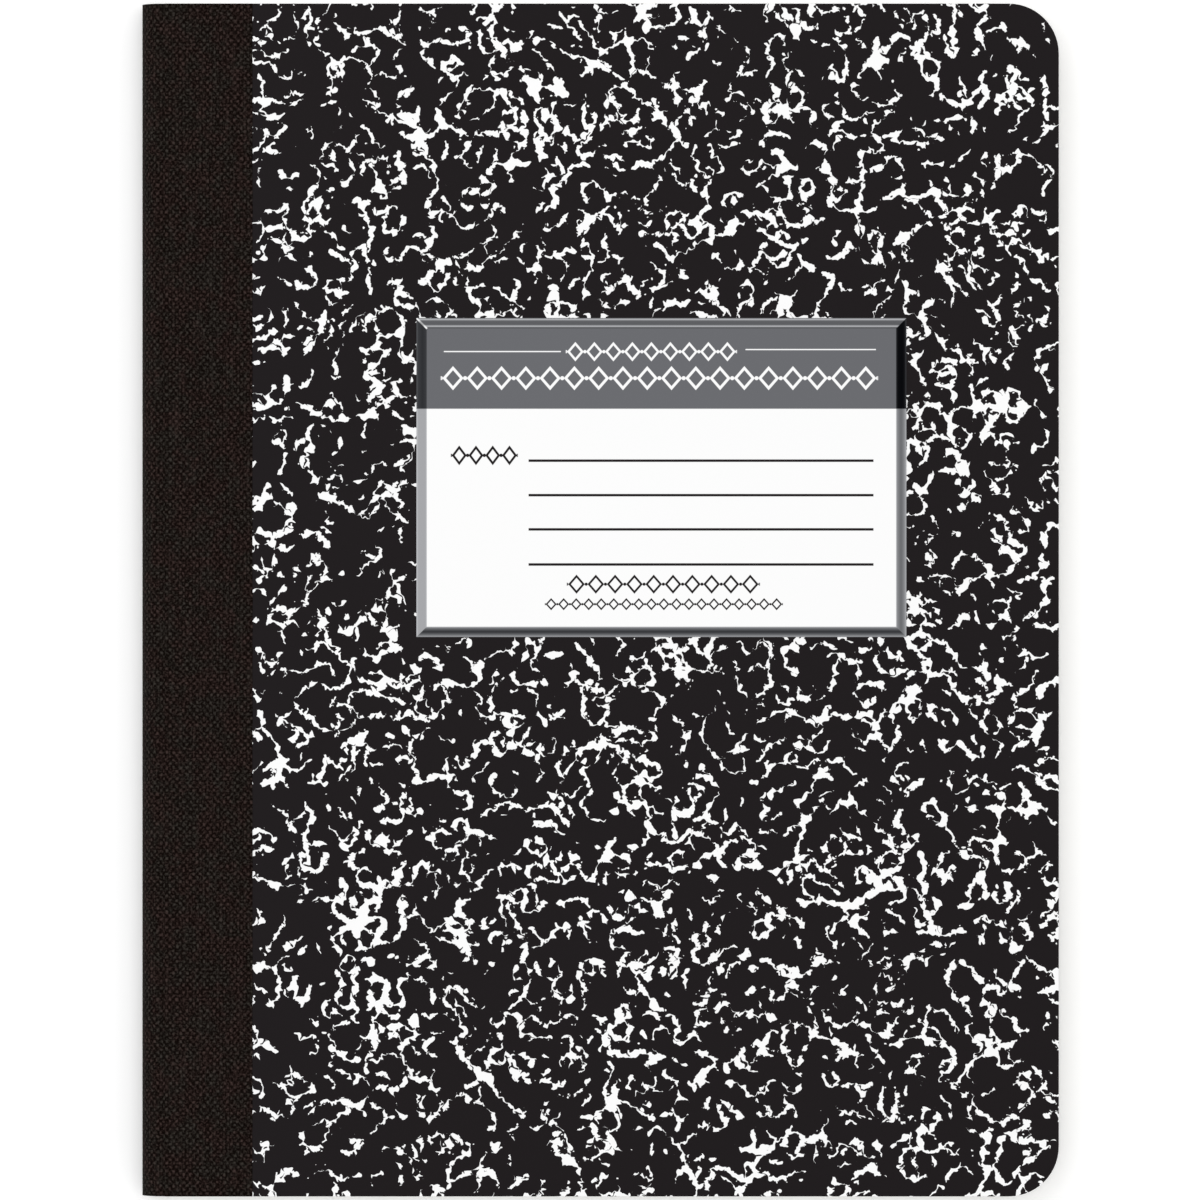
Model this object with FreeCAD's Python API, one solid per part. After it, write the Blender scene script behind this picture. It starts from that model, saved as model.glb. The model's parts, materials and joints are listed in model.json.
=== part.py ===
import FreeCAD, Part
import math
import os

# Composition notebook: one section of folded leaves, sewn through its fold, between two
# printed boards. A strip of book cloth wraps the round back and is glued over both boards,
# and it bends in a groove beside each board, which is where the covers turn.
# The notebook lies on its back cover, with the spine at -X and the head at +Y.
# The origin is under the middle of the whole notebook. All sizes are millimetres.

# Overall outline
notebook_width = 190.5
notebook_height = 247.65
corner_radius = 10.4

# Sheets and boards
sheet_count = 50
leaf_pitch = 0.094
board_thickness = 0.8
endpaper_thickness = 0.15

# Cloth spine strip
cloth_thickness = 0.3
cloth_proud = 0.1
cloth_band_width = 23.1
back_round = 3.3
hinge_groove_width = 1.8
board_edge_radius = 0.4
hinge_slit = 0.04

# Title label, placed from the notebook's left edge and head
label_width = 101.7
label_height = 66.2
label_thickness = 0.3
label_edge_thickness = 0.1
label_bevel_width = 2.15
label_centre_from_left = 108.0
label_centre_from_head = 98.4

# Sewing through the fold
thread_diameter = 0.5
thread_leg_diameter = 0.42
thread_clearance = 0.1
thread_cover = 0.05
thread_tail = 1.2
thread_flats = 6
stitch_length = 12.0
seam_margin = 8.0

# Grooves between leaves, at the three trimmed edges
sheets_per_groove = 5
leaf_groove_width = 0.06
leaf_groove_depth = 0.2

# Heights, from the surface that the notebook lies on
pages_thickness = 2 * sheet_count * leaf_pitch
seat_depth = cloth_thickness - cloth_proud
back_board_low = cloth_proud
pages_low = back_board_low + board_thickness + endpaper_thickness
middle = pages_low + pages_thickness / 2
pages_high = pages_low + pages_thickness
board_inner = pages_high + endpaper_thickness
board_outer = board_inner + board_thickness
seat_floor = board_outer - seat_depth
hinge_height = board_inner + cloth_thickness

# Places along X
spine_x = -notebook_width / 2
fore_x = notebook_width / 2
hinge_x = spine_x + back_round
board_x = hinge_x + hinge_groove_width
cloth_edge_x = spine_x + cloth_band_width

# Round back: one circle for the cloth's outside, and the same centre for what it covers
back_half = hinge_height - middle
cloth_back_radius = (back_half**2 + back_round**2) / (2 * back_round)
back_centre_x = spine_x + cloth_back_radius
pages_back_radius = cloth_back_radius - cloth_thickness
pages_back_x = back_centre_x - pages_back_radius

# Centre fold, inside all the sheets, and the channel that the thread lies in
centre_fold_x = pages_back_x + sheet_count * leaf_pitch
channel_width = thread_diameter + 2 * thread_clearance
spine_thread_x = pages_back_x + thread_cover + thread_diameter / 2
fold_thread_x = centre_fold_x + thread_clearance + thread_diameter / 2

MARGIN = 5.0


def vec(x, y, z):
    return FreeCAD.Vector(x, y, z)


def line(a, b):
    return Part.LineSegment(a, b).toShape()


def arc(a, b, c):
    return Part.Arc(a, b, c).toShape()


def face_of(edges):
    return Part.Face(Part.Wire(edges))


def along_spine(face):
    """Extrudes a section in the XZ plane from tail to head."""
    placed = face.copy()
    placed.translate(vec(0, -notebook_height / 2, 0))
    return placed.extrude(vec(0, notebook_height, 0))


def to_back_cover(shape):
    """The back cover is the front one, mirrored in the middle of the leaves."""
    return shape.mirror(vec(0, 0, middle), vec(0, 0, 1))


def trimmed_plan(inset=0.0):
    """Everything inside the trimmed outline: square at the spine, round at the fore edge."""
    left = spine_x - MARGIN
    right = fore_x - inset
    top = notebook_height / 2 - inset
    radius = corner_radius - inset
    bend = radius * (1 - math.sqrt(0.5))
    outline = face_of(
        [
            line(vec(left, -top, 0), vec(right - radius, -top, 0)),
            arc(
                vec(right - radius, -top, 0),
                vec(right - bend, -top + bend, 0),
                vec(right, -top + radius, 0),
            ),
            line(vec(right, -top + radius, 0), vec(right, top - radius, 0)),
            arc(
                vec(right, top - radius, 0),
                vec(right - bend, top - bend, 0),
                vec(right - radius, top, 0),
            ),
            line(vec(right - radius, top, 0), vec(left, top, 0)),
            line(vec(left, top, 0), vec(left, -top, 0)),
        ]
    )
    outline.translate(vec(0, 0, -MARGIN))
    return outline.extrude(vec(0, 0, board_outer + 2 * MARGIN))


def sheet_strip(start, trail, thickness):
    """Section of a sheet that starts level, heading +X, and follows a trail of straights
    and bends. Start is on its middle line. A straight is (length,), and a bend is
    (radius, turn in radians), where a positive turn climbs."""
    x, z = start
    heading = 0.0
    half = thickness / 2
    upper = []
    lower = []

    def beside(cx, cz, angle, reach):
        return vec(cx - reach * math.sin(angle), 0, cz + reach * math.cos(angle))

    for piece in trail:
        if len(piece) == 1:
            end_x = x + piece[0] * math.cos(heading)
            end_z = z + piece[0] * math.sin(heading)
            for side, reach in ((upper, half), (lower, -half)):
                first = beside(x, z, heading, reach)
                side.append(line(first, beside(end_x, end_z, heading, reach)))
            x, z = end_x, end_z
            continue
        radius, turn = piece
        swing = math.copysign(radius, turn)
        cx = x - swing * math.sin(heading)
        cz = z + swing * math.cos(heading)
        for side, reach in ((upper, half - swing), (lower, -half - swing)):
            points = [beside(cx, cz, heading + turn * s, reach) for s in (0, 0.5, 1)]
            side.append(arc(*points))
        heading += turn
        x = cx + swing * math.sin(heading)
        z = cz - swing * math.cos(heading)
    start_cap = line(lower[0].firstVertex().Point, upper[0].firstVertex().Point)
    end_cap = line(upper[-1].lastVertex().Point, lower[-1].lastVertex().Point)
    return Part.Face(Part.Wire(Part.__sortEdges__([start_cap, *upper, end_cap, *lower])))


def folded_section(depth):
    """Section of the folded sheets that lie deeper than the given depth of paper."""
    half = pages_thickness / 2 - depth
    radius = pages_back_radius - depth
    corner_x = back_centre_x - math.sqrt(radius**2 - half**2)
    right = fore_x + MARGIN
    low = middle - half
    high = middle + half
    return face_of(
        [
            line(vec(corner_x, 0, low), vec(right, 0, low)),
            line(vec(right, 0, low), vec(right, 0, high)),
            line(vec(right, 0, high), vec(corner_x, 0, high)),
            arc(
                vec(corner_x, 0, high),
                vec(back_centre_x - radius, 0, middle),
                vec(corner_x, 0, low),
            ),
        ]
    )


def leaf_grooves():
    """Thin gaps between the folded sheets, cut into the fore edge, head and tail. They are
    nested, so at the head and tail each one runs round the fold."""
    rim = trimmed_plan().cut(trimmed_plan(leaf_groove_depth))
    grooves = []
    for sheet in range(sheets_per_groove, sheet_count, sheets_per_groove):
        depth = sheet * leaf_pitch
        around = along_spine(folded_section(depth))
        gap = around.cut(along_spine(folded_section(depth + leaf_groove_width)))
        grooves.append(gap.common(rim))
    return grooves


def stitch_places():
    """Y of each needle hole, evenly spread about the middle of the seam."""
    stitches = int((notebook_height - 2 * seam_margin) // stitch_length)
    first = -stitches * stitch_length / 2
    return [first + i * stitch_length for i in range(stitches + 1)]


def thread_channels():
    """What the sewing takes out of the paper: a channel down the back, another inside the
    centre fold, and a needle hole from one to the other at each stitch."""
    places = stitch_places()
    low_y = places[0] - thread_tail - thread_clearance
    length = places[-1] - places[0] + 2 * (thread_tail + thread_clearance)
    half = channel_width / 2
    back_depth = spine_thread_x + half - pages_back_x
    back = Part.makeBox(
        back_depth + MARGIN,
        length,
        channel_width,
        vec(pages_back_x - MARGIN, low_y, middle - half),
    )
    fold = Part.makeBox(
        channel_width,
        length,
        channel_width,
        vec(fold_thread_x - half, low_y, middle - half),
    )
    holes = [
        Part.makeCylinder(
            thread_leg_diameter / 2 + thread_clearance,
            fold_thread_x - spine_thread_x,
            vec(spine_thread_x, y, middle),
            vec(1, 0, 0),
        )
        for y in places
    ]
    return [back, fold, *holes]


def page_block():
    """All the leaves as one solid: folded round the back and trimmed on three sides."""
    block = along_spine(folded_section(0)).common(trimmed_plan())
    block = block.cut(leaf_grooves())
    return block.cut(thread_channels())


def thread_run(diameter, start, run):
    """A straight length of thread. It has flats, like a twisted thread pulled tight."""
    up = vec(0, 0, 1)
    across = run.cross(up).normalize()
    points = []
    for flat in range(thread_flats + 1):
        angle = 2 * math.pi * (flat + 0.5) / thread_flats
        around = across * math.cos(angle) + up * math.sin(angle)
        points.append(start + around * (diameter / 2))
    return Part.Face(Part.makePolygon(points)).extrude(run)


def seam_thread(rail_x, legs_to_x):
    """One of the two threads of the lockstitch: it runs from hole to hole on its own side
    and goes half way into each hole, where the other thread holds it."""
    places = stitch_places()
    rail_length = places[-1] - places[0] + 2 * thread_tail
    rail_start = vec(rail_x, places[0] - thread_tail, middle)
    rail = thread_run(thread_diameter, rail_start, vec(0, rail_length, 0))
    leg = vec(legs_to_x - rail_x, 0, 0)
    legs = [thread_run(thread_leg_diameter, vec(rail_x, y, middle), leg) for y in places]
    return rail.fuse(legs).removeSplitter()


def cover_board():
    """Front board. A shallow seat along the spine side takes the cloth, and the edge under
    the cloth is eased so that the cloth climbs over it without a crease."""
    bend = board_edge_radius * (1 - math.sqrt(0.5))
    right = fore_x + MARGIN
    section = face_of(
        [
            line(vec(board_x, 0, board_inner), vec(right, 0, board_inner)),
            line(vec(right, 0, board_inner), vec(right, 0, board_outer)),
            line(vec(right, 0, board_outer), vec(cloth_edge_x, 0, board_outer)),
            line(vec(cloth_edge_x, 0, board_outer), vec(cloth_edge_x, 0, seat_floor)),
            line(
                vec(cloth_edge_x, 0, seat_floor),
                vec(board_x + board_edge_radius, 0, seat_floor),
            ),
            arc(
                vec(board_x + board_edge_radius, 0, seat_floor),
                vec(board_x + bend, 0, seat_floor - bend),
                vec(board_x, 0, seat_floor - board_edge_radius),
            ),
            line(
                vec(board_x, 0, seat_floor - board_edge_radius),
                vec(board_x, 0, board_inner),
            ),
        ]
    )
    return along_spine(section).common(trimmed_plan())


def endpaper():
    """Sheet pasted inside the front board. It carries on across the hinge groove, behind
    the cloth, as far as the hinge line."""
    start_x = hinge_x + hinge_slit
    section = sheet_strip(
        (start_x, pages_high + endpaper_thickness / 2),
        [(fore_x + MARGIN - start_x,)],
        endpaper_thickness,
    )
    return along_spine(section).common(trimmed_plan())


def cloth_flap():
    """Part of the cloth strip that turns with the front cover. It lies in the hinge groove,
    climbs the eased edge of the board and is glued down in the board's seat."""
    start_x = hinge_x + hinge_slit
    rise = seat_floor - board_inner
    bend_radius = board_edge_radius + cloth_thickness / 2
    turn = math.acos(max(0.0, 1 - rise / (2 * bend_radius)))
    upright = max(0.0, rise - 2 * bend_radius)
    climb_x = board_x + board_edge_radius - 2 * bend_radius * math.sin(turn)
    trail = [(climb_x - start_x,), (bend_radius, turn)]
    if upright:
        trail.append((upright,))
    trail.append((bend_radius, -turn))
    trail.append((cloth_edge_x - board_x - board_edge_radius,))
    start = (start_x, board_inner + cloth_thickness / 2)
    return along_spine(sheet_strip(start, trail, cloth_thickness))


def cloth_back():
    """Part of the cloth strip glued round the back of the leaves, from hinge line to hinge
    line."""
    outside = Part.makeCylinder(
        cloth_back_radius,
        notebook_height,
        vec(back_centre_x, -notebook_height / 2, middle),
        vec(0, 1, 0),
    )
    inside = Part.makeCylinder(
        pages_back_radius,
        notebook_height,
        vec(back_centre_x, -notebook_height / 2, middle),
        vec(0, 1, 0),
    )
    behind_hinges = Part.makeBox(
        back_round + MARGIN,
        notebook_height,
        2 * cloth_back_radius,
        vec(spine_x - MARGIN, -notebook_height / 2, middle - cloth_back_radius),
    )
    return outside.cut(inside).common(behind_hinges)


def rectangle(width, height, z):
    """Wire about the label's own centre."""
    corners = [
        vec(sx * width / 2, sy * height / 2, z)
        for sx, sy in ((-1, -1), (1, -1), (1, 1), (-1, 1))
    ]
    return Part.makePolygon([*corners, corners[0]])


def title_label():
    """Raised label glued on the front board: a flat field inside a bevelled border."""
    field_width = label_width - 2 * label_bevel_width
    field_height = label_height - 2 * label_bevel_width
    foot = Part.Face(rectangle(label_width, label_height, 0)).extrude(
        vec(0, 0, label_edge_thickness)
    )
    bevel = Part.makeLoft(
        [
            rectangle(label_width, label_height, label_edge_thickness),
            rectangle(field_width, field_height, label_thickness),
        ],
        True,
        True,
    )
    label = foot.fuse(bevel).removeSplitter()
    label.translate(
        vec(
            spine_x + label_centre_from_left,
            notebook_height / 2 - label_centre_from_head,
            board_outer,
        )
    )
    return label


def build():
    lock_x = (spine_thread_x + fold_thread_x) / 2
    front_board = cover_board()
    front_endpaper = endpaper()
    front_flap = cloth_flap()
    return {
        "page_block": page_block(),
        "spine_thread": seam_thread(spine_thread_x, lock_x),
        "fold_thread": seam_thread(fold_thread_x, lock_x),
        "spine_cloth_back": cloth_back(),
        "front_board": front_board,
        "front_endpaper": front_endpaper,
        "front_cloth_flap": front_flap,
        "title_label": title_label(),
        "back_board": to_back_cover(front_board),
        "back_endpaper": to_back_cover(front_endpaper),
        "back_cloth_flap": to_back_cover(front_flap),
    }


os.makedirs("parts", exist_ok=True)
for name, shape in build().items():
    shape.exportStep(f"parts/{name}.step")
    print(name, "solids", len(shape.Solids), "valid", shape.isValid(), "mm3", round(shape.Volume, 2))
print("hinge lines at x", round(hinge_x, 4), "z", round(hinge_height, 4))
print("and z", round(2 * middle - hinge_height, 4), "cover surface z", round(board_outer, 4))
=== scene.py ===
import json
import math
import random

import bmesh
import bpy
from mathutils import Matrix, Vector


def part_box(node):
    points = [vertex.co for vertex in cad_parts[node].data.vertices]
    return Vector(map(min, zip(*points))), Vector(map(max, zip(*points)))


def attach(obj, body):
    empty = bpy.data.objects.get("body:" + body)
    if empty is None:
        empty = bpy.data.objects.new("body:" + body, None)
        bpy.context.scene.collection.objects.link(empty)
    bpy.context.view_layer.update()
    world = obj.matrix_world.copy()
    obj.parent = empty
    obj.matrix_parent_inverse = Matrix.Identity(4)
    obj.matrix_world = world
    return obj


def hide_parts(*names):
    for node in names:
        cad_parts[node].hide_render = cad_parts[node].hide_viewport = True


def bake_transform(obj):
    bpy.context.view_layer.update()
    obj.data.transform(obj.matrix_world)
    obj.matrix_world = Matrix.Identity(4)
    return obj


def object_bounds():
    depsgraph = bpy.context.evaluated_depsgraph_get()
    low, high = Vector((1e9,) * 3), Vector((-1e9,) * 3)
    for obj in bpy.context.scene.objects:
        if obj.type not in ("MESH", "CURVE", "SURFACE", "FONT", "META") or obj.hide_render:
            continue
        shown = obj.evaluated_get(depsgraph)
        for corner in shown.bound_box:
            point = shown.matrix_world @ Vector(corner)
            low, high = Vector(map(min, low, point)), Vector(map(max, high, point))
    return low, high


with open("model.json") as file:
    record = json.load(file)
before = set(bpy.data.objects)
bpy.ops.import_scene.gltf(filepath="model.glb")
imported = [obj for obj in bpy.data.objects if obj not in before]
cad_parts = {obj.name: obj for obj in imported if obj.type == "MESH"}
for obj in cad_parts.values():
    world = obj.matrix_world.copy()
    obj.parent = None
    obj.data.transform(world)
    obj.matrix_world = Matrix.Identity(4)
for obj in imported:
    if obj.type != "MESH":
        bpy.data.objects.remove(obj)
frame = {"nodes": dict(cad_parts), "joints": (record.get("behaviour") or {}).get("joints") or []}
cad_low, cad_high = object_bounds()

MM = 0.001

# Places from the frame, in metres
board_low, board_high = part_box("front_board")
paper_low, paper_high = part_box("front_endpaper")
block_low, block_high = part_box("page_block")
label_low, label_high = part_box("title_label")
flap_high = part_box("front_cloth_flap")[1]
back_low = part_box("spine_cloth_back")[0]
hinge = next(j for j in frame["joints"] if j["name"] == "front_cover_hinge")["pos_m"]

MIDDLE_Z = (block_low.z + block_high.z) / 2
HALF_HEIGHT = board_high.y
SPINE_X = back_low.x
FORE_X = board_high.x
HINGE_X = hinge[0]
HINGE_Z = hinge[2]
BOARD_X = board_low.x
CLOTH_EDGE_X = flap_high.x
CLOTH_TOP_Z = flap_high.z
CLOTH_THICKNESS = HINGE_Z - board_low.z

# Round back: an arc from one hinge line to the other. The cloth and all the folds share its
# centre, and the endpapers start where the cloth's inside comes down to them.
BACK_HALF = HINGE_Z - MIDDLE_Z
BACK_ROUND = HINGE_X - SPINE_X
CLOTH_RADIUS = (BACK_HALF**2 + BACK_ROUND**2) / (2 * BACK_ROUND)
BACK_CENTRE_X = SPINE_X + CLOTH_RADIUS
PAPER_RADIUS = CLOTH_RADIUS - CLOTH_THICKNESS
PAPER_HALF = paper_high.z - MIDDLE_Z
GUTTER_X = BACK_CENTRE_X - math.sqrt(PAPER_RADIUS**2 - PAPER_HALF**2)

# The photograph: its side in pixels, and its pixels for a millimetre on the cover
PHOTO_SIDE = 1200
PHOTO_SCALE = 4.817

WHITEST = 0.97


def tone(value):
    """A screen grey, 0 to 255, as a linear value by the sRGB curve. No real surface is whiter
    than WHITEST."""
    level = value / 255
    linear = level / 12.92 if level <= 0.04045 else ((level + 0.055) / 1.055) ** 2.4
    return min(WHITEST, linear)


def colour(red, green, blue):
    return (tone(red), tone(green), tone(blue), 1.0)


def grey(value):
    return colour(value, value, value)


# Places of the Mix node's colour sockets, which share their names with its other sockets
MIX_FACTOR, MIX_A, MIX_B, MIX_RESULT = 0, 6, 7, 2
NOISE_MIDDLE = 0.5


class Nodes:
    """Short names for building the nodes of one material or world."""

    def __init__(self, owner):
        self.owner = owner
        owner.use_nodes = True
        self.tree = owner.node_tree
        self.tree.nodes.clear()

    def put(self, socket, value):
        if isinstance(value, bpy.types.NodeSocket):
            self.tree.links.new(value, socket)
        else:
            socket.default_value = value

    def node(self, kind, inputs=None, **settings):
        """A new node. Inputs are given by name or by place."""
        made = self.tree.nodes.new(kind)
        for name, value in settings.items():
            setattr(made, name, value)
        for name, value in (inputs or {}).items():
            self.put(made.inputs[name], value)
        return made

    def math(self, operation, *values):
        inputs = dict(enumerate(values))
        return self.node("ShaderNodeMath", inputs, operation=operation).outputs[0]

    def vector(self, operation, a, b):
        second = "Scale" if operation == "SCALE" else 1
        return self.node("ShaderNodeVectorMath", {0: a, second: b}, operation=operation).outputs[0]

    def parts(self, vector):
        return self.node("ShaderNodeSeparateXYZ", {"Vector": vector}).outputs

    def joined(self, x, y):
        return self.node("ShaderNodeCombineXYZ", {"X": x, "Y": y}).outputs[0]

    def step(self, value, low, high):
        """0 at low, 1 at high, and smooth between them."""
        inputs = {"Value": value, "From Min": low, "From Max": high}
        return self.node("ShaderNodeMapRange", inputs, interpolation_type="SMOOTHSTEP").outputs[0]

    def past(self, value, edge, soft):
        """0 before the edge and 1 past it, smooth for soft on both sides of it."""
        return self.step(value, edge - soft, edge + soft)

    def before(self, value, edge, soft):
        """1 before the edge and 0 past it, smooth for soft on both sides of it."""
        return self.step(value, edge + soft, edge - soft)

    def mix(self, factor, a, b, blend_type="MIX"):
        inputs = {MIX_FACTOR: factor, MIX_A: a, MIX_B: b}
        made = self.node("ShaderNodeMix", inputs, data_type="RGBA", blend_type=blend_type)
        return made.outputs[MIX_RESULT]

    def ramp(self, factor, stops):
        made = self.node("ShaderNodeValToRGB", {"Fac": factor})
        band = made.color_ramp
        while len(band.elements) < len(stops):
            band.elements.new(1.0)
        for element, (place, value) in zip(band.elements, stops):
            element.position = place
            element.color = value
        return made.outputs["Color"]

    def noise(self, vector, scale, detail, roughness=0.5, output="Fac", flat=False):
        inputs = {"Vector": vector, "Scale": scale, "Detail": detail, "Roughness": roughness}
        sides = "2D" if flat else "3D"
        return self.node("ShaderNodeTexNoise", inputs, noise_dimensions=sides).outputs[output]

    def centred(self, noise, span):
        """A noise from 0 to 1, made span wide with its middle at 0."""
        return self.math("MULTIPLY_ADD", noise, span, -span * NOISE_MIDDLE)

    def bent(self, vector, reach, size, detail):
        """A vector moved by a flat noise, at most half of reach each way."""
        pull = self.noise(vector, 1 / size, detail, output="Color", flat=True)
        pull = self.vector("SUBTRACT", pull, (NOISE_MIDDLE,) * 3)
        return self.vector("ADD", vector, self.vector("SCALE", pull, reach))

    def place(self, unit=MM):
        """Where the point is on the object at rest, in mm or another unit."""
        place = self.node("ShaderNodeTexCoord").outputs["Object"]
        return self.vector("SCALE", place, 1 / unit)

    def facing_up(self):
        """1 where the object at rest faces up, -1 where it faces down."""
        return self.parts(self.node("ShaderNodeTexCoord").outputs["Normal"])[2]

    def bump(self, height, depth):
        return self.node("ShaderNodeBump", {"Height": height, "Distance": depth}).outputs[0]

    def surface(self, base, roughness, specular, normal=None):
        inputs = {"Base Color": base, "Roughness": roughness, "Specular IOR Level": specular}
        if normal is not None:
            inputs["Normal"] = normal
        shader = self.node("ShaderNodeBsdfPrincipled", inputs)
        self.node("ShaderNodeOutputMaterial", {"Surface": shader.outputs[0]})
        return self.owner


def material_nodes(name):
    return Nodes(bpy.data.materials.new(name))


# Marbling: white veins on black, in mm. A run of veins is the middle line of a noise. Each run
# has its spacing, the veins' half width, how rare they are, and a shift.
VEIN_RUNS = (
    (6.37, 0.42, -0.039, (41.3, 17.9)),
    (4.76, 0.3, -0.009, (-63.1, 52.7)),
)
# How fast a noise leaves its middle line, so that its value tells the distance
VEIN_SLOPE = 1.9
# Noises that bend the veins: reach, size and detail
VEIN_BENDS = ((1.63, 2.41, 1.0), (0.88, 1.13, 0.0), (0.62, 0.66, 0.0))
# Veins swell and thin out along their run
VEIN_SWELL = 1.57
VEIN_SWELL_SIZE = 1.92
# Bare patches, where the veins have less than no width
BARE_HALF_WIDTH = -1.01
BARE_SIZE = 7.46
BARE_EDGE = 0.035
# Wide stretches that are whiter or blacker than the rest
FLOOD = 0.79
FLOOD_SIZE = 17.4
# Small flecks beside the veins
FLECK_SIZE = 0.7
FLECK_RARE = 0.26
FLECK_SLOPE = 1.66
FLECK_NEAR = 0.4
PRINT_SOFTNESS = 0.04


def marble_white(n, place):
    """1 on the white veins and flecks, 0 on the black. Place is in mm."""
    bent = place
    for reach, size, detail in VEIN_BENDS:
        bent = n.bent(bent, reach, size, detail)
    veins = None
    for spacing, half_width, rare, shift in VEIN_RUNS:
        run = n.noise(n.vector("ADD", bent, (*shift, 0.0)), 1 / spacing, detail=0.0, flat=True)
        away = n.math("ABSOLUTE", n.math("SUBTRACT", run, NOISE_MIDDLE))
        moved = n.vector("ADD", place, (*shift, 0.0))
        patches = n.noise(moved, 1 / BARE_SIZE, detail=1.0, flat=True)
        shown = n.past(patches, NOISE_MIDDLE + rare, BARE_EDGE)
        width = n.math("MULTIPLY_ADD", shown, half_width - BARE_HALF_WIDTH, BARE_HALF_WIDTH)
        swell = n.centred(n.noise(moved, 1 / VEIN_SWELL_SIZE, detail=0.0, flat=True), VEIN_SWELL)
        inside = n.math("MULTIPLY_ADD", away, -VEIN_SLOPE * spacing, n.math("ADD", width, swell))
        veins = inside if veins is None else n.math("MAXIMUM", veins, inside)
    flood = n.centred(n.noise(place, 1 / FLOOD_SIZE, detail=1.0, flat=True), FLOOD)
    veins = n.math("ADD", veins, flood)
    fleck = n.noise(place, 1 / FLECK_SIZE, detail=0.0, flat=True)
    fleck = n.math("SUBTRACT", fleck, NOISE_MIDDLE + FLECK_RARE)
    near_vein = n.math("MULTIPLY", veins, FLECK_NEAR)
    flecks = n.math("MULTIPLY_ADD", fleck, FLECK_SLOPE, near_vein)
    return n.past(n.math("MAXIMUM", veins, flecks), 0.0, PRINT_SOFTNESS)


MARBLE_BLACK = colour(23, 18, 20)
MARBLE_WHITE = colour(252, 252, 252)
# Board core: its fibres lie flat, and its greys are given with their places in their noise
CORE_LAYERS = (1.0, 1.0, 6.0)
CORE_GREYS = ((0.3, grey(150)), (0.7, grey(196)))
# The back board shows another part of the same marbling, this far along, in mm
BACK_PRINT_SHIFT = 331.0
BOARDS_APART_SOFT = 1.0
BOARD_ROUGHNESS = 0.4
BOARD_ROUGHNESS_SPAN = 0.12


def marbled_board():
    """Cover board: marbling printed on its outer face, and grey board elsewhere."""
    n = material_nodes("marbled_board")
    place = n.place()
    at_back = n.before(n.parts(place)[2], MIDDLE_Z / MM, BOARDS_APART_SOFT)
    shift = n.joined(n.math("MULTIPLY", at_back, BACK_PRINT_SHIFT), 0.0)
    white = marble_white(n, n.vector("ADD", place, shift))
    printed = n.mix(white, MARBLE_BLACK, MARBLE_WHITE)
    layers = n.vector("MULTIPLY", place, CORE_LAYERS)
    core = n.ramp(n.noise(layers, scale=2.2, detail=4.0, roughness=0.7), CORE_GREYS)
    # 1 on the front board and -1 on the back board
    out_of_cover = n.math("MULTIPLY_ADD", at_back, -2.0, 1.0)
    outward = n.math("MULTIPLY", n.facing_up(), out_of_cover)
    base = n.mix(n.step(outward, low=0.3, high=0.6), core, printed)
    grain = n.noise(place, scale=3.0, detail=3.0)
    roughness = n.math("MULTIPLY_ADD", grain, BOARD_ROUGHNESS_SPAN, BOARD_ROUGHNESS)
    return n.surface(base, roughness, specular=0.08, normal=n.bump(grain, depth=0.012 * MM))


# Book cloth, in mm. A light dot is a painted highlight on a thread's crown: rows of dots, and each
# row half a dot over. The filling and the fluff hide most of the rows.
DOT_PITCH = 1.41
ROW_PITCH = 0.79
FLUFF_SIZE = 0.42
FLUFF_SHINE = 0.6
# Long threads come from a noise that is drawn out along the spine
LONG_THREADS = 0.06
LONG_THREAD_SHINE = 0.2
# The cloth's black with painted shade in the gaps between threads, and the grey of the fluff with
# the painted highlight on the crowns
CLOTH_BLACK_AND_GAP_SHADE = colour(9, 3, 1)
CLOTH_FLUFF_AND_HIGHLIGHT = colour(59, 51, 48)
COOL_TINT = (0.92, 1.05, 1.0, 1.0)
WARM_TINT = (1.12, 0.94, 0.93, 1.0)


def book_cloth():
    """Black woven cloth, with painted shade in the gaps between threads and a painted highlight on
    their crowns. Its UV layer holds the distance round the spine and the place along it.
    """
    n = material_nodes("book_cloth")
    strip = n.node("ShaderNodeUVMap", uv_map="cloth").outputs[0]
    place = n.vector("SCALE", strip, 1 / MM)
    across, along, _ = n.parts(n.bent(place, reach=0.5, size=1.25, detail=1.0))
    dots = n.math("COSINE", n.math("MULTIPLY", across, 2 * math.pi / DOT_PITCH))
    rows = n.math("COSINE", n.math("MULTIPLY", along, math.pi / ROW_PITCH))
    weave = n.math("MULTIPLY", dots, rows)
    filling = n.noise(place, scale=0.9, detail=2.0, roughness=0.7, flat=True)
    bare = n.step(filling, low=0.22, high=0.75)
    painted_highlight_and_fluff = n.math("MULTIPLY", n.step(weave, low=-0.15, high=1.0), bare)
    fluff = n.noise(place, 1 / FLUFF_SIZE, detail=1.0, roughness=0.6, flat=True)
    painted_highlight_and_fluff = n.math("MULTIPLY_ADD", n.step(fluff, low=0.42, high=0.85), FLUFF_SHINE, painted_highlight_and_fluff)
    straight_across, straight_along, _ = n.parts(place)
    drawn_out = n.joined(straight_across, n.math("MULTIPLY", straight_along, LONG_THREADS))
    threads = n.noise(drawn_out, scale=1.6, detail=2.0, roughness=0.6, flat=True)
    painted_highlight_and_fluff = n.math("MULTIPLY_ADD", n.step(threads, low=0.5, high=0.8), LONG_THREAD_SHINE, painted_highlight_and_fluff)
    base = n.mix(painted_highlight_and_fluff, CLOTH_BLACK_AND_GAP_SHADE, CLOTH_FLUFF_AND_HIGHLIGHT)
    patches = n.noise(place, scale=0.2, detail=3.0, roughness=0.7, flat=True)
    tint = n.mix(n.step(patches, low=0.36, high=0.64), COOL_TINT, WARM_TINT)
    base = n.mix(1.0, base, tint, blend_type="MULTIPLY")
    return n.surface(base, roughness=0.7, specular=0.03, normal=n.bump(weave, depth=0.04 * MM))


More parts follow.
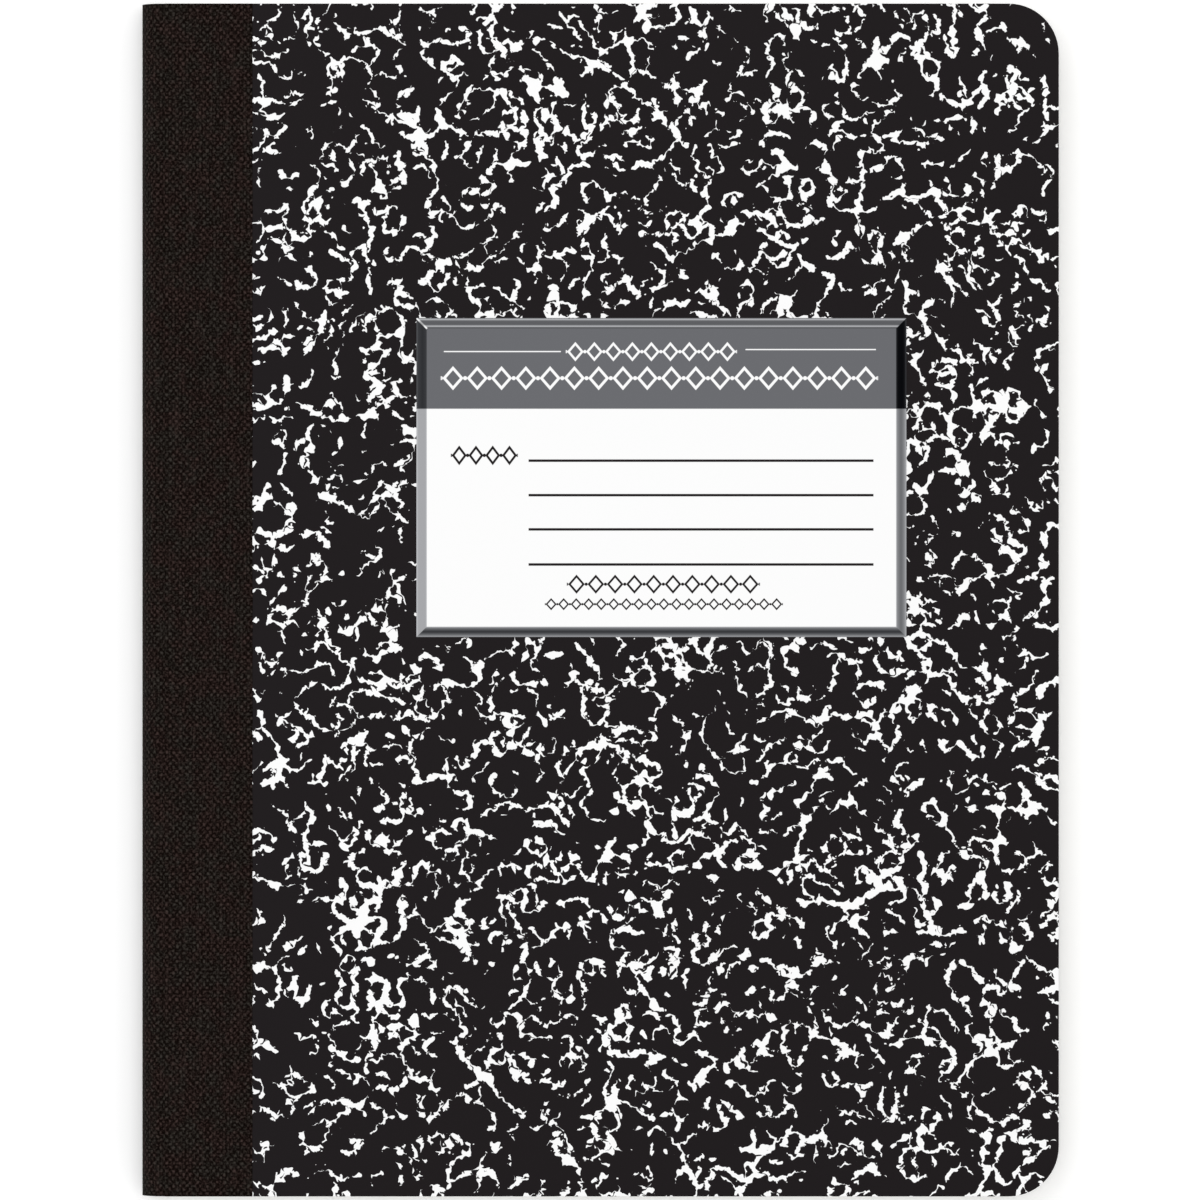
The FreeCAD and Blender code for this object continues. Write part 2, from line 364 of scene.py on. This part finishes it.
# Ruled paper, in mm from the head and from the hinge
RULE_PITCH = 7.14
RULE_START = 34.0
RULE_HALF_WIDTH = 0.22
RULE_CORE = 0.6
RULE_STRENGTH = 0.75
RULE_BLUE = colour(128, 172, 214)
MARGIN_FROM_HINGE = 31.75
MARGIN_HALF_WIDTH = 0.19
MARGIN_SOFT = 0.05
MARGIN_STRENGTH = 0.8
MARGIN_RED = colour(222, 110, 122)
PAGE_WHITES = (colour(243, 242, 236), colour(250, 249, 245))
EDGE_WHITES = (colour(214, 212, 203), colour(247, 246, 240))
EDGE_LAYERS = (0.25, 0.25, 9.0)


def ruled_paper():
    """Writing paper: blue rules and a red margin on the pages, and streaks on the cut edges."""
    n = material_nodes("ruled_paper")
    place = n.place()
    x, y, _ = n.parts(place)
    down_page = n.math("SUBTRACT", HALF_HEIGHT / MM - RULE_START, y)
    count = n.math("DIVIDE", down_page, RULE_PITCH)
    away = n.math("ABSOLUTE", n.math("SUBTRACT", count, n.math("ROUND", count)))
    rule = n.step(away, RULE_HALF_WIDTH / RULE_PITCH, RULE_CORE * RULE_HALF_WIDTH / RULE_PITCH)
    rule = n.math("MULTIPLY", rule, n.step(down_page, low=-1.0, high=-0.9))
    from_margin = n.math("ABSOLUTE", n.math("SUBTRACT", x, HINGE_X / MM + MARGIN_FROM_HINGE))
    margin = n.before(from_margin, MARGIN_HALF_WIDTH, MARGIN_SOFT)
    fibres = n.noise(place, scale=1.6, detail=4.0, roughness=0.65)
    page = n.mix(fibres, *PAGE_WHITES)
    page = n.mix(n.math("MULTIPLY", rule, RULE_STRENGTH), page, RULE_BLUE)
    page = n.mix(n.math("MULTIPLY", margin, MARGIN_STRENGTH), page, MARGIN_RED)
    layers = n.vector("MULTIPLY", place, EDGE_LAYERS)
    edges = n.mix(n.noise(layers, scale=1.0, detail=2.0, roughness=0.7), *EDGE_WHITES)
    on_page = n.step(n.math("ABSOLUTE", n.facing_up()), low=0.8, high=0.95)
    base = n.mix(on_page, edges, page)
    return n.surface(base, roughness=0.85, specular=0.15, normal=n.bump(fibres, depth=0.01 * MM))


ENDPAPER_WHITES = (colour(236, 235, 230), colour(248, 247, 243))


def plain_paper():
    n = material_nodes("plain_paper")
    fibres = n.noise(n.place(), scale=1.3, detail=5.0, roughness=0.7)
    base = n.mix(fibres, *ENDPAPER_WHITES)
    return n.surface(base, roughness=0.85, specular=0.15, normal=n.bump(fibres, depth=0.015 * MM))


# Sewing thread: how far its twist turns in a millimetre along and up, in radians
TWIST_ALONG = 9.0
TWIST_UP = 7.0
THREAD_DARK = colour(196, 193, 182)
THREAD_LIGHT = colour(240, 238, 230)


def cotton_thread():
    n = material_nodes("cotton_thread")
    _, y, z = n.parts(n.place())
    turned = n.math("ADD", n.math("MULTIPLY", y, TWIST_ALONG), n.math("MULTIPLY", z, TWIST_UP))
    twist = n.math("SINE", turned)
    base = n.mix(n.math("MULTIPLY_ADD", twist, 0.5, 0.5), THREAD_DARK, THREAD_LIGHT)
    return n.surface(base, roughness=0.8, specular=0.15, normal=n.bump(twist, depth=0.03 * MM))


# Label, in mm. A name that ends in PX is in the photograph's pixels.
LABEL_LEFT_PX = 416.6
LABEL_TOP_PX = 317.9
LABEL_WIDTH = (label_high.x - label_low.x) / MM
LABEL_HEIGHT = (label_high.y - label_low.y) / MM
HEADER_BOTTOM_PX = 408.6
HEADER_SOFT = 0.06
HEADER_GREY = colour(106, 107, 111)
INK = colour(32, 28, 29)
WHITE = grey(255)

# Printed lines: left, right, middle and thickness
HEADER_LINES_PX = ((444, 561, 351.4, 1.2), (745.6, 876, 349.4, 1.2))
WRITING_LEFT_PX = 528.7
WRITING_RIGHT_PX = 873.6
WRITING_THICK_PX = 2.5
WRITING_LINES_PX = [
    (WRITING_LEFT_PX, WRITING_RIGHT_PX, line, WRITING_THICK_PX)
    for line in (460.5, 495.0, 529.2, 564.3)
]
LINE_SOFT = 0.04

# Rows of lozenges: left, right, middle and height in pixels, count, and stroke in mm
HEADER_ROWS = ((566, 737, 351.5, 16, 9, 0.46), (441, 878, 378, 20, 18, 0.56))
FIELD_ROWS = (
    (451, 518, 455.2, 16, 4, 0.48),
    (567, 760, 584, 16, 10, 0.44),
    (545, 783, 604, 10, 19, 0.32),
)
LOZENGE_SHARE = 0.36
DOT_STROKES = 0.75
STROKE_SOFT = 0.05


def from_left(pixel):
    return (pixel - LABEL_LEFT_PX) / PHOTO_SCALE


def from_top(pixel):
    return (pixel - LABEL_TOP_PX) / PHOTO_SCALE


def within(n, value, low, high):
    rise = n.past(value, low, LINE_SOFT)
    fall = n.before(value, high, LINE_SOFT)
    return n.math("MULTIPLY", rise, fall)


def printed_line(n, x, y, left_px, right_px, middle_px, thick_px):
    half = thick_px / 2
    across = within(n, x, from_left(left_px), from_left(right_px))
    down = within(n, y, from_top(middle_px - half), from_top(middle_px + half))
    return n.math("MULTIPLY", across, down)


def lozenges(n, x, y, left_px, right_px, middle_px, high_px, count, stroke):
    """A plain row of outlined lozenges with a dot between each pair."""
    left = from_left(left_px)
    pitch = (from_left(right_px) - left) / count
    tall = high_px / PHOTO_SCALE / 2
    wide = pitch * LOZENGE_SHARE
    along = n.math("DIVIDE", n.math("SUBTRACT", x, left), pitch)
    from_centre = n.math("SUBTRACT", n.math("FRACT", along), 0.5)
    u = n.math("MULTIPLY", n.math("ABSOLUTE", from_centre), pitch)
    v = n.math("ABSOLUTE", n.math("SUBTRACT", y, from_top(middle_px)))
    sides = n.math("ADD", n.math("DIVIDE", u, wide), n.math("DIVIDE", v, tall))
    side_distance = wide * tall / math.hypot(wide, tall)
    from_side = n.math("MULTIPLY", n.math("SUBTRACT", sides, 1.0), side_distance)
    outline = n.before(n.math("ABSOLUTE", from_side), stroke / 2, STROKE_SOFT)
    from_pair = n.math("SUBTRACT", u, pitch / 2)
    squares = n.math("ADD", n.math("POWER", from_pair, 2.0), n.math("POWER", v, 2.0))
    dot = n.before(n.math("SQRT", squares), stroke * DOT_STROKES, STROKE_SOFT)
    marks = n.math("MAXIMUM", outline, dot)
    return n.math("MULTIPLY", marks, within(n, along, 0.0, float(count)))


# Border tones, painted light and shade as a light from the top left gives the raised border: (share
# of the way in from the label's edge, grey). The sides are dark beside the header and light beside
# the white field.
BEVEL_WIDTH = 2.15
TOP_BEVEL_PAINTED_SHADING = (
    (0.0, 118),
    (0.08, 150),
    (0.15, 186),
    (0.24, 104),
    (0.35, 94),
    (0.64, 93),
    (0.72, 150),
    (0.82, 178),
    (0.91, 84),
    (1.0, 82),
)
BOTTOM_BEVEL_PAINTED_SHADING = (
    (0.0, 150),
    (0.12, 134),
    (0.22, 105),
    (0.32, 86),
    (0.41, 66),
    (0.51, 52),
    (0.61, 66),
    (0.7, 87),
    (0.8, 106),
    (0.9, 137),
    (1.0, 200),
)
LEFT_BEVEL_PAINTED_SHADING_BY_HEADER = ((0.0, 80), (0.09, 74), (0.18, 57), (0.38, 52), (0.57, 46), (0.88, 54), (1.0, 72))
LEFT_BEVEL_PAINTED_SHADING_BY_FIELD = ((0.0, 190), (0.09, 184), (0.18, 167), (0.85, 166), (0.95, 180), (1.0, 200))
RIGHT_BEVEL_PAINTED_SHADING_BY_HEADER = ((0.0, 60), (0.1, 38), (0.19, 12), (0.39, 2), (0.75, 4), (0.87, 14), (1.0, 52))
RIGHT_BEVEL_PAINTED_SHADING_BY_FIELD = (
    (0.0, 168),
    (0.1, 160),
    (0.19, 138),
    (0.39, 116),
    (0.53, 108),
    (0.68, 118),
    (0.87, 138),
    (0.96, 176),
    (1.0, 214),
)
# What red, green and blue add to each grey of the painted shading on the border
PAINTED_SHADING_TINT = (-1, 0, 3)
BEVEL_SOFT = 0.05
MITRE_SOFT = 0.09
HALFWAY_SOFT = 1.0
# Painted highlight along the mitre at the head's left corner
PAINTED_GLINT = grey(248)
GLINT_HALF_WIDTH = 0.24
GLINT_SOFT = 0.12
GLINT_FADE = 0.4
GLINT_LEAST = 0.4


def painted_bevel_shading(n, x, y, base):
    """Painted light and shade on the raised border, as from a light at the top left, mitred at the
    corners.
    """
    side_depth = n.math("MINIMUM", x, n.math("SUBTRACT", LABEL_WIDTH, x))
    end_depth = n.math("MINIMUM", y, n.math("SUBTRACT", LABEL_HEIGHT, y))
    depth = n.math("MINIMUM", side_depth, end_depth)
    inward = n.math("DIVIDE", depth, BEVEL_WIDTH)

    def tones(stops):
        tinted = [(place, colour(*(value + add for add in PAINTED_SHADING_TINT))) for place, value in stops]
        return n.ramp(inward, tinted)

    under_header = n.past(y, from_top(HEADER_BOTTOM_PX), HEADER_SOFT)
    left = n.mix(under_header, tones(LEFT_BEVEL_PAINTED_SHADING_BY_HEADER), tones(LEFT_BEVEL_PAINTED_SHADING_BY_FIELD))
    right = n.mix(under_header, tones(RIGHT_BEVEL_PAINTED_SHADING_BY_HEADER), tones(RIGHT_BEVEL_PAINTED_SHADING_BY_FIELD))
    sides = n.mix(n.past(x, LABEL_WIDTH / 2, HALFWAY_SOFT), left, right)
    at_bottom = n.past(y, LABEL_HEIGHT / 2, HALFWAY_SOFT)
    ends = n.mix(at_bottom, tones(TOP_BEVEL_PAINTED_SHADING), tones(BOTTOM_BEVEL_PAINTED_SHADING))
    from_mitre = n.math("SUBTRACT", end_depth, side_depth)
    border = n.mix(n.past(from_mitre, 0.0, MITRE_SOFT), ends, sides)
    # Painted highlight along the head's left mitre
    on_mitre = n.before(n.math("ABSOLUTE", from_mitre), GLINT_HALF_WIDTH, GLINT_SOFT)
    at_corner = n.step(n.math("MAXIMUM", x, y), BEVEL_WIDTH + GLINT_FADE, BEVEL_WIDTH)
    from_middle = n.math("ABSOLUTE", n.math("SUBTRACT", inward, 0.5))
    near_ends = n.step(from_middle, low=0.1, high=0.35)
    strength = n.math("MULTIPLY_ADD", near_ends, 1 - GLINT_LEAST, GLINT_LEAST)
    painted_glint = n.math("MULTIPLY", n.math("MULTIPLY", on_mitre, at_corner), strength)
    border = n.mix(painted_glint, border, PAINTED_GLINT)
    return n.mix(n.past(depth, BEVEL_WIDTH, BEVEL_SOFT), border, base)


def printed_label():
    """Title label: grey header, writing lines, plain rows of lozenges and a bevelled border with
    painted light and shade.
    """
    n = material_nodes("printed_label")
    place = n.place()
    place_x, place_y, _ = n.parts(place)
    x = n.math("SUBTRACT", place_x, label_low.x / MM)
    y = n.math("SUBTRACT", label_high.y / MM, place_y)
    in_header = n.before(y, from_top(HEADER_BOTTOM_PX), HEADER_SOFT)
    base = n.mix(in_header, WHITE, HEADER_GREY)
    header = (WHITE, HEADER_LINES_PX, HEADER_ROWS)
    field = (INK, WRITING_LINES_PX, FIELD_ROWS)
    for ink, lines, rows in (header, field):
        for line in lines:
            base = n.mix(printed_line(n, x, y, *line), base, ink)
        for row in rows:
            base = n.mix(lozenges(n, x, y, *row), base, ink)
    base = painted_bevel_shading(n, x, y, base)
    grain = n.noise(place, scale=4.0, detail=3.0)
    return n.surface(base, roughness=0.5, specular=0.03, normal=n.bump(grain, depth=0.006 * MM))


def mesh_piece(name, mesh, material, smooth=False):
    data = bpy.data.meshes.new(name)
    mesh.to_mesh(data)
    mesh.free()
    for face in data.polygons:
        face.use_smooth = smooth
    data.materials.append(material)
    piece = bpy.data.objects.new(name, data)
    bpy.context.scene.collection.objects.link(piece)
    return piece


# Boards: corners rounded at the fore edge, and an eased edge under the cloth
CORNER_RADIUS = 10.4 * MM
CORNER_STEPS = 14
DIE_CUT_EDGE = 0.1 * MM
BOARD_EASE = 0.4 * MM
EASE_STEPS = 3
# Two outlines at the height of the cloth's seat stay this far apart, and nearer points merge
SEAT_GAP = 1e-6
MERGE_DISTANCE = 1e-7


def trimmed_outline(left, inset, z):
    """The board's outline: square at the spine side, round at the fore edge."""
    right = FORE_X - inset
    top = HALF_HEIGHT - inset
    radius = CORNER_RADIUS - inset
    points = [Vector((left, -top, z))]
    for centre_y, first in ((-(top - radius), -90), (top - radius, 0)):
        for step in range(CORNER_STEPS + 1):
            angle = math.radians(first + 90 * step / CORNER_STEPS)
            x = right - radius + radius * math.cos(angle)
            y = centre_y + radius * math.sin(angle)
            points.append(Vector((x, y, z)))
    points.append(Vector((left, top, z)))
    return points


def stacked(loops):
    """A closed mesh through loops that have the same number of points, low to high."""
    mesh = bmesh.new()
    rings = [[mesh.verts.new(p) for p in loop] for loop in loops]
    for lower, upper in zip(rings, rings[1:]):
        for i in range(len(lower)):
            j = (i + 1) % len(lower)
            mesh.faces.new((lower[i], lower[j], upper[j], upper[i]))
    mesh.faces.new(rings[-1])
    mesh.faces.new(list(reversed(rings[0])))
    bmesh.ops.remove_doubles(mesh, verts=mesh.verts, dist=MERGE_DISTANCE)
    bmesh.ops.recalc_face_normals(mesh, faces=mesh.faces)
    return mesh


def flipped_to_back(mesh):
    """A front piece, mirrored in the middle of the leaves. The distance along the cloth runs on
    below the middle, so that the weave has no mirror line there."""
    for vert in mesh.verts:
        vert.co.z = 2 * MIDDLE_Z - vert.co.z
    for layer in mesh.loops.layers.uv.values():
        for face in mesh.faces:
            for loop in face.loops:
                loop[layer].uv.x *= -1
    bmesh.ops.reverse_faces(mesh, faces=mesh.faces)
    return mesh


def board_mesh():
    """Front board, with the seat for the cloth and an eased edge under it."""
    low = board_low.z
    high = board_high.z
    seat = CLOTH_TOP_Z - CLOTH_THICKNESS
    loops = [
        trimmed_outline(BOARD_X, DIE_CUT_EDGE, low),
        trimmed_outline(BOARD_X, 0.0, low + DIE_CUT_EDGE),
    ]
    for step in range(EASE_STEPS + 1):
        angle = math.pi / 2 * step / EASE_STEPS
        left = BOARD_X + BOARD_EASE * (1 - math.cos(angle))
        rise = BOARD_EASE * math.sin(angle)
        loops.append(trimmed_outline(left, 0.0, seat - BOARD_EASE + rise))
    loops.append(trimmed_outline(CLOTH_EDGE_X, 0.0, seat + SEAT_GAP))
    loops.append(trimmed_outline(CLOTH_EDGE_X, 0.0, high - DIE_CUT_EDGE))
    loops.append(trimmed_outline(CLOTH_EDGE_X, DIE_CUT_EDGE, high))
    return stacked(loops)


def ribbon(mesh, path, thickness, half_length, rows=1, layer=None, wander=0.0):
    """A sheet that follows a path of (x, z) points and lies along Y on both sides of it. Its
    length may vary along the path, and its last edge may wander. Layer is a UV layer for the
    distance along the path."""
    last = len(path) - 1
    travelled = [0.0]
    for a, b in zip(path, path[1:]):
        travelled.append(travelled[-1] + math.dist(a, b))
    end_shift = [random.uniform(-wander, wander) for _ in range(rows + 1)]
    upper = []
    lower = []
    for i, (x, z) in enumerate(path):
        before = path[max(0, i - 1)]
        after = path[min(last, i + 1)]
        reach = math.dist(before, after)
        dx = (after[0] - before[0]) / reach
        dz = (after[1] - before[1]) / reach
        half = half_length(x)
        for side, offset in ((upper, thickness / 2), (lower, -thickness / 2)):
            column = []
            for row in range(rows + 1):
                y = half * (2 * row / rows - 1)
                shift = end_shift[row] if i == last else 0.0
                point = (x - dz * offset + shift * dx, y, z + dx * offset + shift * dz)
                column.append(mesh.verts.new(point))
            side.append(column)

    def quad(verts, columns):
        face = mesh.faces.new(verts)
        if layer is not None:
            for loop, column in zip(face.loops, columns):
                loop[layer].uv = (travelled[column], loop.vert.co.y)

    for i in range(last):
        there = (i, i + 1, i + 1, i)
        for row in range(rows):
            a, b = upper[i], upper[i + 1]
            quad((a[row], b[row], b[row + 1], a[row + 1]), there)
            a, b = lower[i], lower[i + 1]
            quad((a[row + 1], b[row + 1], b[row], a[row]), there)
        ends = (upper[i], lower[i], lower[i + 1], upper[i + 1])
        quad([column[0] for column in ends], (i, i, i + 1, i + 1))
        quad([column[rows] for column in reversed(ends)], (i + 1, i + 1, i, i))
    for row in range(rows):
        a, b = upper[0], lower[0]
        quad((a[row + 1], b[row + 1], b[row], a[row]), (0,) * 4)
        a, b = upper[last], lower[last]
        quad((a[row], b[row], b[row + 1], a[row + 1]), (last,) * 4)


def trimmed_half_length(x):
    """Half the height of the notebook at x, where the fore-edge corners are rounded."""
    past = x - (FORE_X - CORNER_RADIUS)
    if past <= 0:
        return HALF_HEIGHT
    past = min(past, CORNER_RADIUS)
    return HALF_HEIGHT - CORNER_RADIUS + math.sqrt(CORNER_RADIUS**2 - past**2)


# Leaves: folded sheets, the share of their pitch that is paper, and how unevenly they are cut
SHEETS = 50
PAPER_SHARE = 0.82
TRIM_WANDER = 0.03 * MM
FOLD_STEPS = 16
CORNER_COLUMNS = 8


def corner_columns(start_x, fore_x):
    """X of the columns from start_x to the fore edge, close together round the corner."""
    first = fore_x - CORNER_RADIUS
    turns = [math.pi / 2 * i / CORNER_COLUMNS for i in range(CORNER_COLUMNS + 1)]
    return [start_x] + [first + CORNER_RADIUS * math.sin(turn) for turn in turns]


def on_back(radius, angle):
    """A point (x, z) on the round back, at an angle up from its middle."""
    return (BACK_CENTRE_X - radius * math.cos(angle), MIDDLE_Z + radius * math.sin(angle))


def sheets_mesh():
    """Fifty sheets folded inside each other, so that each one goes round the fold."""
    mesh = bmesh.new()
    pitch = (block_high.z - block_low.z) / (2 * SHEETS)
    for sheet in range(SHEETS):
        depth = (sheet + 0.5) * pitch
        half = MIDDLE_Z - block_low.z - depth
        radius = PAPER_RADIUS - depth
        reach = math.asin(min(1.0, half / radius))
        corner_x, _ = on_back(radius, reach)
        upper_fore = FORE_X - random.uniform(0.0, TRIM_WANDER)
        lower_fore = FORE_X - random.uniform(0.0, TRIM_WANDER)
        short = random.uniform(0.0, TRIM_WANDER)
        path = [(x, MIDDLE_Z + half) for x in reversed(corner_columns(corner_x, upper_fore))]
        for step in range(1, FOLD_STEPS):
            path.append(on_back(radius, reach * (1 - 2 * step / FOLD_STEPS)))
        path += [(x, MIDDLE_Z - half) for x in corner_columns(corner_x, lower_fore)]
        ribbon(mesh, path, pitch * PAPER_SHARE, lambda x: trimmed_half_length(x) - short)
    bmesh.ops.recalc_face_normals(mesh, faces=mesh.faces)
    return mesh


# Cloth strip. Its first step is straight up, so that its two halves meet square.
SEAM_STEP = 0.1 * MM
BACK_STEPS = 20
GROOVE_STEPS = 8
CLIMB_STEPS = 6
# Where the back turns into the groove, in half thicknesses past the hinge line and down
TURN_PAST = 0.15
TURN_DOWN = 0.08
# The last step is short, so that only the cut edge wanders
CUT_STEP = 0.3 * MM
CUT_WANDER = 0.05 * MM
CUT_ROWS = 120


def cloth_path():
    """Middle of the front half of the cloth strip, from the middle of the round back over
    the hinge groove and up on to the board."""
    half = CLOTH_THICKNESS / 2
    radius = CLOTH_RADIUS - half
    reach = math.asin(BACK_HALF / CLOTH_RADIUS)
    path = [on_back(radius, 0.0), (BACK_CENTRE_X - radius, MIDDLE_Z + SEAM_STEP)]
    for step in range(1, BACK_STEPS):
        path.append(on_back(radius, reach * step / BACK_STEPS))
    groove_z = HINGE_Z - half
    top_z = CLOTH_TOP_Z - half
    bend = BOARD_EASE + half
    turn = math.acos(max(0.0, 1 - (top_z - groove_z) / (2 * bend)))
    top_x = BOARD_X + BOARD_EASE
    foot_x = top_x - 2 * bend * math.sin(turn)
    path.append((HINGE_X + TURN_PAST * half, groove_z - TURN_DOWN * half))
    for step in range(1, GROOVE_STEPS):
        path.append((HINGE_X + (foot_x - HINGE_X) * step / GROOVE_STEPS, groove_z))
    turns = [turn * step / CLIMB_STEPS for step in range(CLIMB_STEPS + 1)]
    climb = [(bend * math.sin(angle), bend * (1 - math.cos(angle))) for angle in turns]
    path += [(foot_x + x, groove_z + z) for x, z in climb]
    path += [(top_x - x, top_z - z) for x, z in reversed(climb[:-1])]
    path += [(CLOTH_EDGE_X - CUT_STEP, top_z), (CLOTH_EDGE_X, top_z)]
    return path


def path_length(path):
    return sum(math.dist(a, b) for a, b in zip(path, path[1:]))


def cloth_mesh():
    """Front half of the cloth strip, with its UV layer for the weave."""
    mesh = bmesh.new()
    layer = mesh.loops.layers.uv.new("cloth")
    path = cloth_path()
    ribbon(mesh, path, CLOTH_THICKNESS, lambda x: HALF_HEIGHT, CUT_ROWS, layer, CUT_WANDER)
    bmesh.ops.recalc_face_normals(mesh, faces=mesh.faces)
    return mesh


# Gutter: the endpapers' close columns run from the gutter to this far past the hinge line, in this
# many steps
GUTTER_BEND = 0.9 * MM
GUTTER_STEPS = 10
# Endpapers: their gap to the cloth, and where their plain stretch on the board starts
ENDPAPER_GAP = 0.02 * MM
ENDPAPER_ON_BOARD = 0.5 * MM


def endpaper_mesh():
    """Endpaper pasted inside the front board, from the gutter to the fore edge."""
    mesh = bmesh.new()
    z = (paper_low.z + paper_high.z) / 2
    start = GUTTER_X + ENDPAPER_GAP
    bend_end = HINGE_X + GUTTER_BEND
    columns = [start + (bend_end - start) * step / GUTTER_STEPS for step in range(GUTTER_STEPS)]
    columns += corner_columns(BOARD_X + ENDPAPER_ON_BOARD, FORE_X)
    ribbon(mesh, [(x, z) for x in columns], paper_high.z - paper_low.z, trimmed_half_length)
    bmesh.ops.recalc_face_normals(mesh, faces=mesh.faces)
    return mesh


random.seed(7)

board_material = marbled_board()
cloth_material = book_cloth()
paper_material = plain_paper()

front_board = mesh_piece("front_board_marbled", board_mesh(), board_material)
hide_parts("front_board")
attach(front_board, "front_cover")

back_board = mesh_piece("back_board_marbled", flipped_to_back(board_mesh()), board_material)
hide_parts("back_board")
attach(back_board, "back_cover")

leaves = mesh_piece("folded_leaves", sheets_mesh(), ruled_paper())
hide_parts("page_block")
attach(leaves, "page_block")

front_cloth = mesh_piece("cloth_front_half", cloth_mesh(), cloth_material, smooth=True)
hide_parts("front_cloth_flap", "spine_cloth_back")
back_cloth_mesh = flipped_to_back(cloth_mesh())
back_cloth = mesh_piece("cloth_back_half", back_cloth_mesh, cloth_material, smooth=True)
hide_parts("back_cloth_flap")
front_endpaper = mesh_piece("front_endpaper_sheet", endpaper_mesh(), paper_material)
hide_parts("front_endpaper")
back_endpaper_mesh = flipped_to_back(endpaper_mesh())
back_endpaper = mesh_piece("back_endpaper_sheet", back_endpaper_mesh, paper_material)
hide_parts("back_endpaper")

# Cloth and endpapers: their places are baked into their meshes.
for piece, slot in ((front_cloth, "spine_cloth"), (front_endpaper, "endpaper")):
    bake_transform(piece)
for piece, slot in ((back_cloth, "spine_cloth"), (back_endpaper, "endpaper")):
    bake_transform(piece)

cloth_cut = (path_length(cloth_path()), 2 * HALF_HEIGHT)

# CAD nodes that stay as they are, with their materials
thread_material = cotton_thread()
for name, material in (
    ("title_label", printed_label()),
    ("spine_thread", thread_material),
    ("fold_thread", thread_material),
):
    materials = frame["nodes"][name].data.materials
    materials.clear()
    materials.append(material)

# Floor: how far it reaches each way, in metres, and its tints
FLOOR_REACH = 8.0
FLOOR_CELLS = 4
FLOOR_PALE = (0.93, 0.93, 0.93, 1.0)
FLOOR_PALER = (0.94, 0.94, 0.94, 1.0)
FLOOR_SEEN = (1.15, 1.15, 1.15, 1.0)


def floor_material():
    """Pale floor. The camera sees it a little lighter, so that only its shadows are grey."""
    n = material_nodes("pale_floor")
    tint = n.noise(n.place(unit=1.0), scale=3.0, detail=2.0)
    pale = n.mix(tint, FLOOR_PALE, FLOOR_PALER)
    camera_sees = n.node("ShaderNodeLightPath").outputs["Is Camera Ray"]
    return n.surface(n.mix(camera_sees, pale, FLOOR_SEEN), roughness=0.9, specular=0.0)


floor_mesh = bmesh.new()
bmesh.ops.create_grid(
    floor_mesh, x_segments=FLOOR_CELLS, y_segments=FLOOR_CELLS, size=FLOOR_REACH
)
floor = mesh_piece("floor", floor_mesh, floor_material())
floor.location.z = cad_low.z

# Light: an even surround, and one broad soft light from the top left
SURROUND = 0.71
PURE_WHITE = (1.0, 1.0, 1.0, 1.0)
SOFTBOX_POWER = 19.5
SOFTBOX_SIZE = 2.4
SOFTBOX_PLACE = Vector((-0.45, 0.5, 2.0))


def studio_world():
    """The surround as light on the object, and plain white behind it for the camera."""
    n = Nodes(bpy.data.worlds.new("studio"))
    around = n.node("ShaderNodeBackground", {"Color": PURE_WHITE, "Strength": SURROUND})
    behind = n.node("ShaderNodeBackground", {"Color": PURE_WHITE, "Strength": 1.0})
    camera_sees = n.node("ShaderNodeLightPath").outputs["Is Camera Ray"]
    shares = {0: camera_sees, 1: around.outputs[0], 2: behind.outputs[0]}
    either = n.node("ShaderNodeMixShader", shares)
    n.node("ShaderNodeOutputWorld", {"Surface": either.outputs[0]})
    return n.owner


bpy.context.scene.world = studio_world()

softbox_data = bpy.data.lights.new("softbox", "AREA")
softbox_data.shape = "SQUARE"
softbox_data.size = SOFTBOX_SIZE
softbox_data.energy = SOFTBOX_POWER
softbox = bpy.data.objects.new("softbox", softbox_data)
softbox.location = SOFTBOX_PLACE
softbox.rotation_euler = (-SOFTBOX_PLACE).to_track_quat("-Z", "Y").to_euler()
bpy.context.scene.collection.objects.link(softbox)

# Camera: straight above, with a long lens, as the photograph is
LENS = 300.0
SENSOR = 36.0
FARTHEST_SEEN = 50.0
view_width = PHOTO_SIDE / PHOTO_SCALE * MM
camera_data = bpy.data.cameras.new("camera")
camera_data.lens = LENS
camera_data.sensor_width = SENSOR
camera_data.clip_end = FARTHEST_SEEN
camera_data.dof.use_dof = False
camera = bpy.data.objects.new("camera", camera_data)
camera.location = (0.0, 0.0, board_high.z + view_width * LENS / SENSOR)
bpy.context.scene.collection.objects.link(camera)
bpy.context.scene.camera = camera

bpy.context.scene.view_settings.view_transform = "Standard"
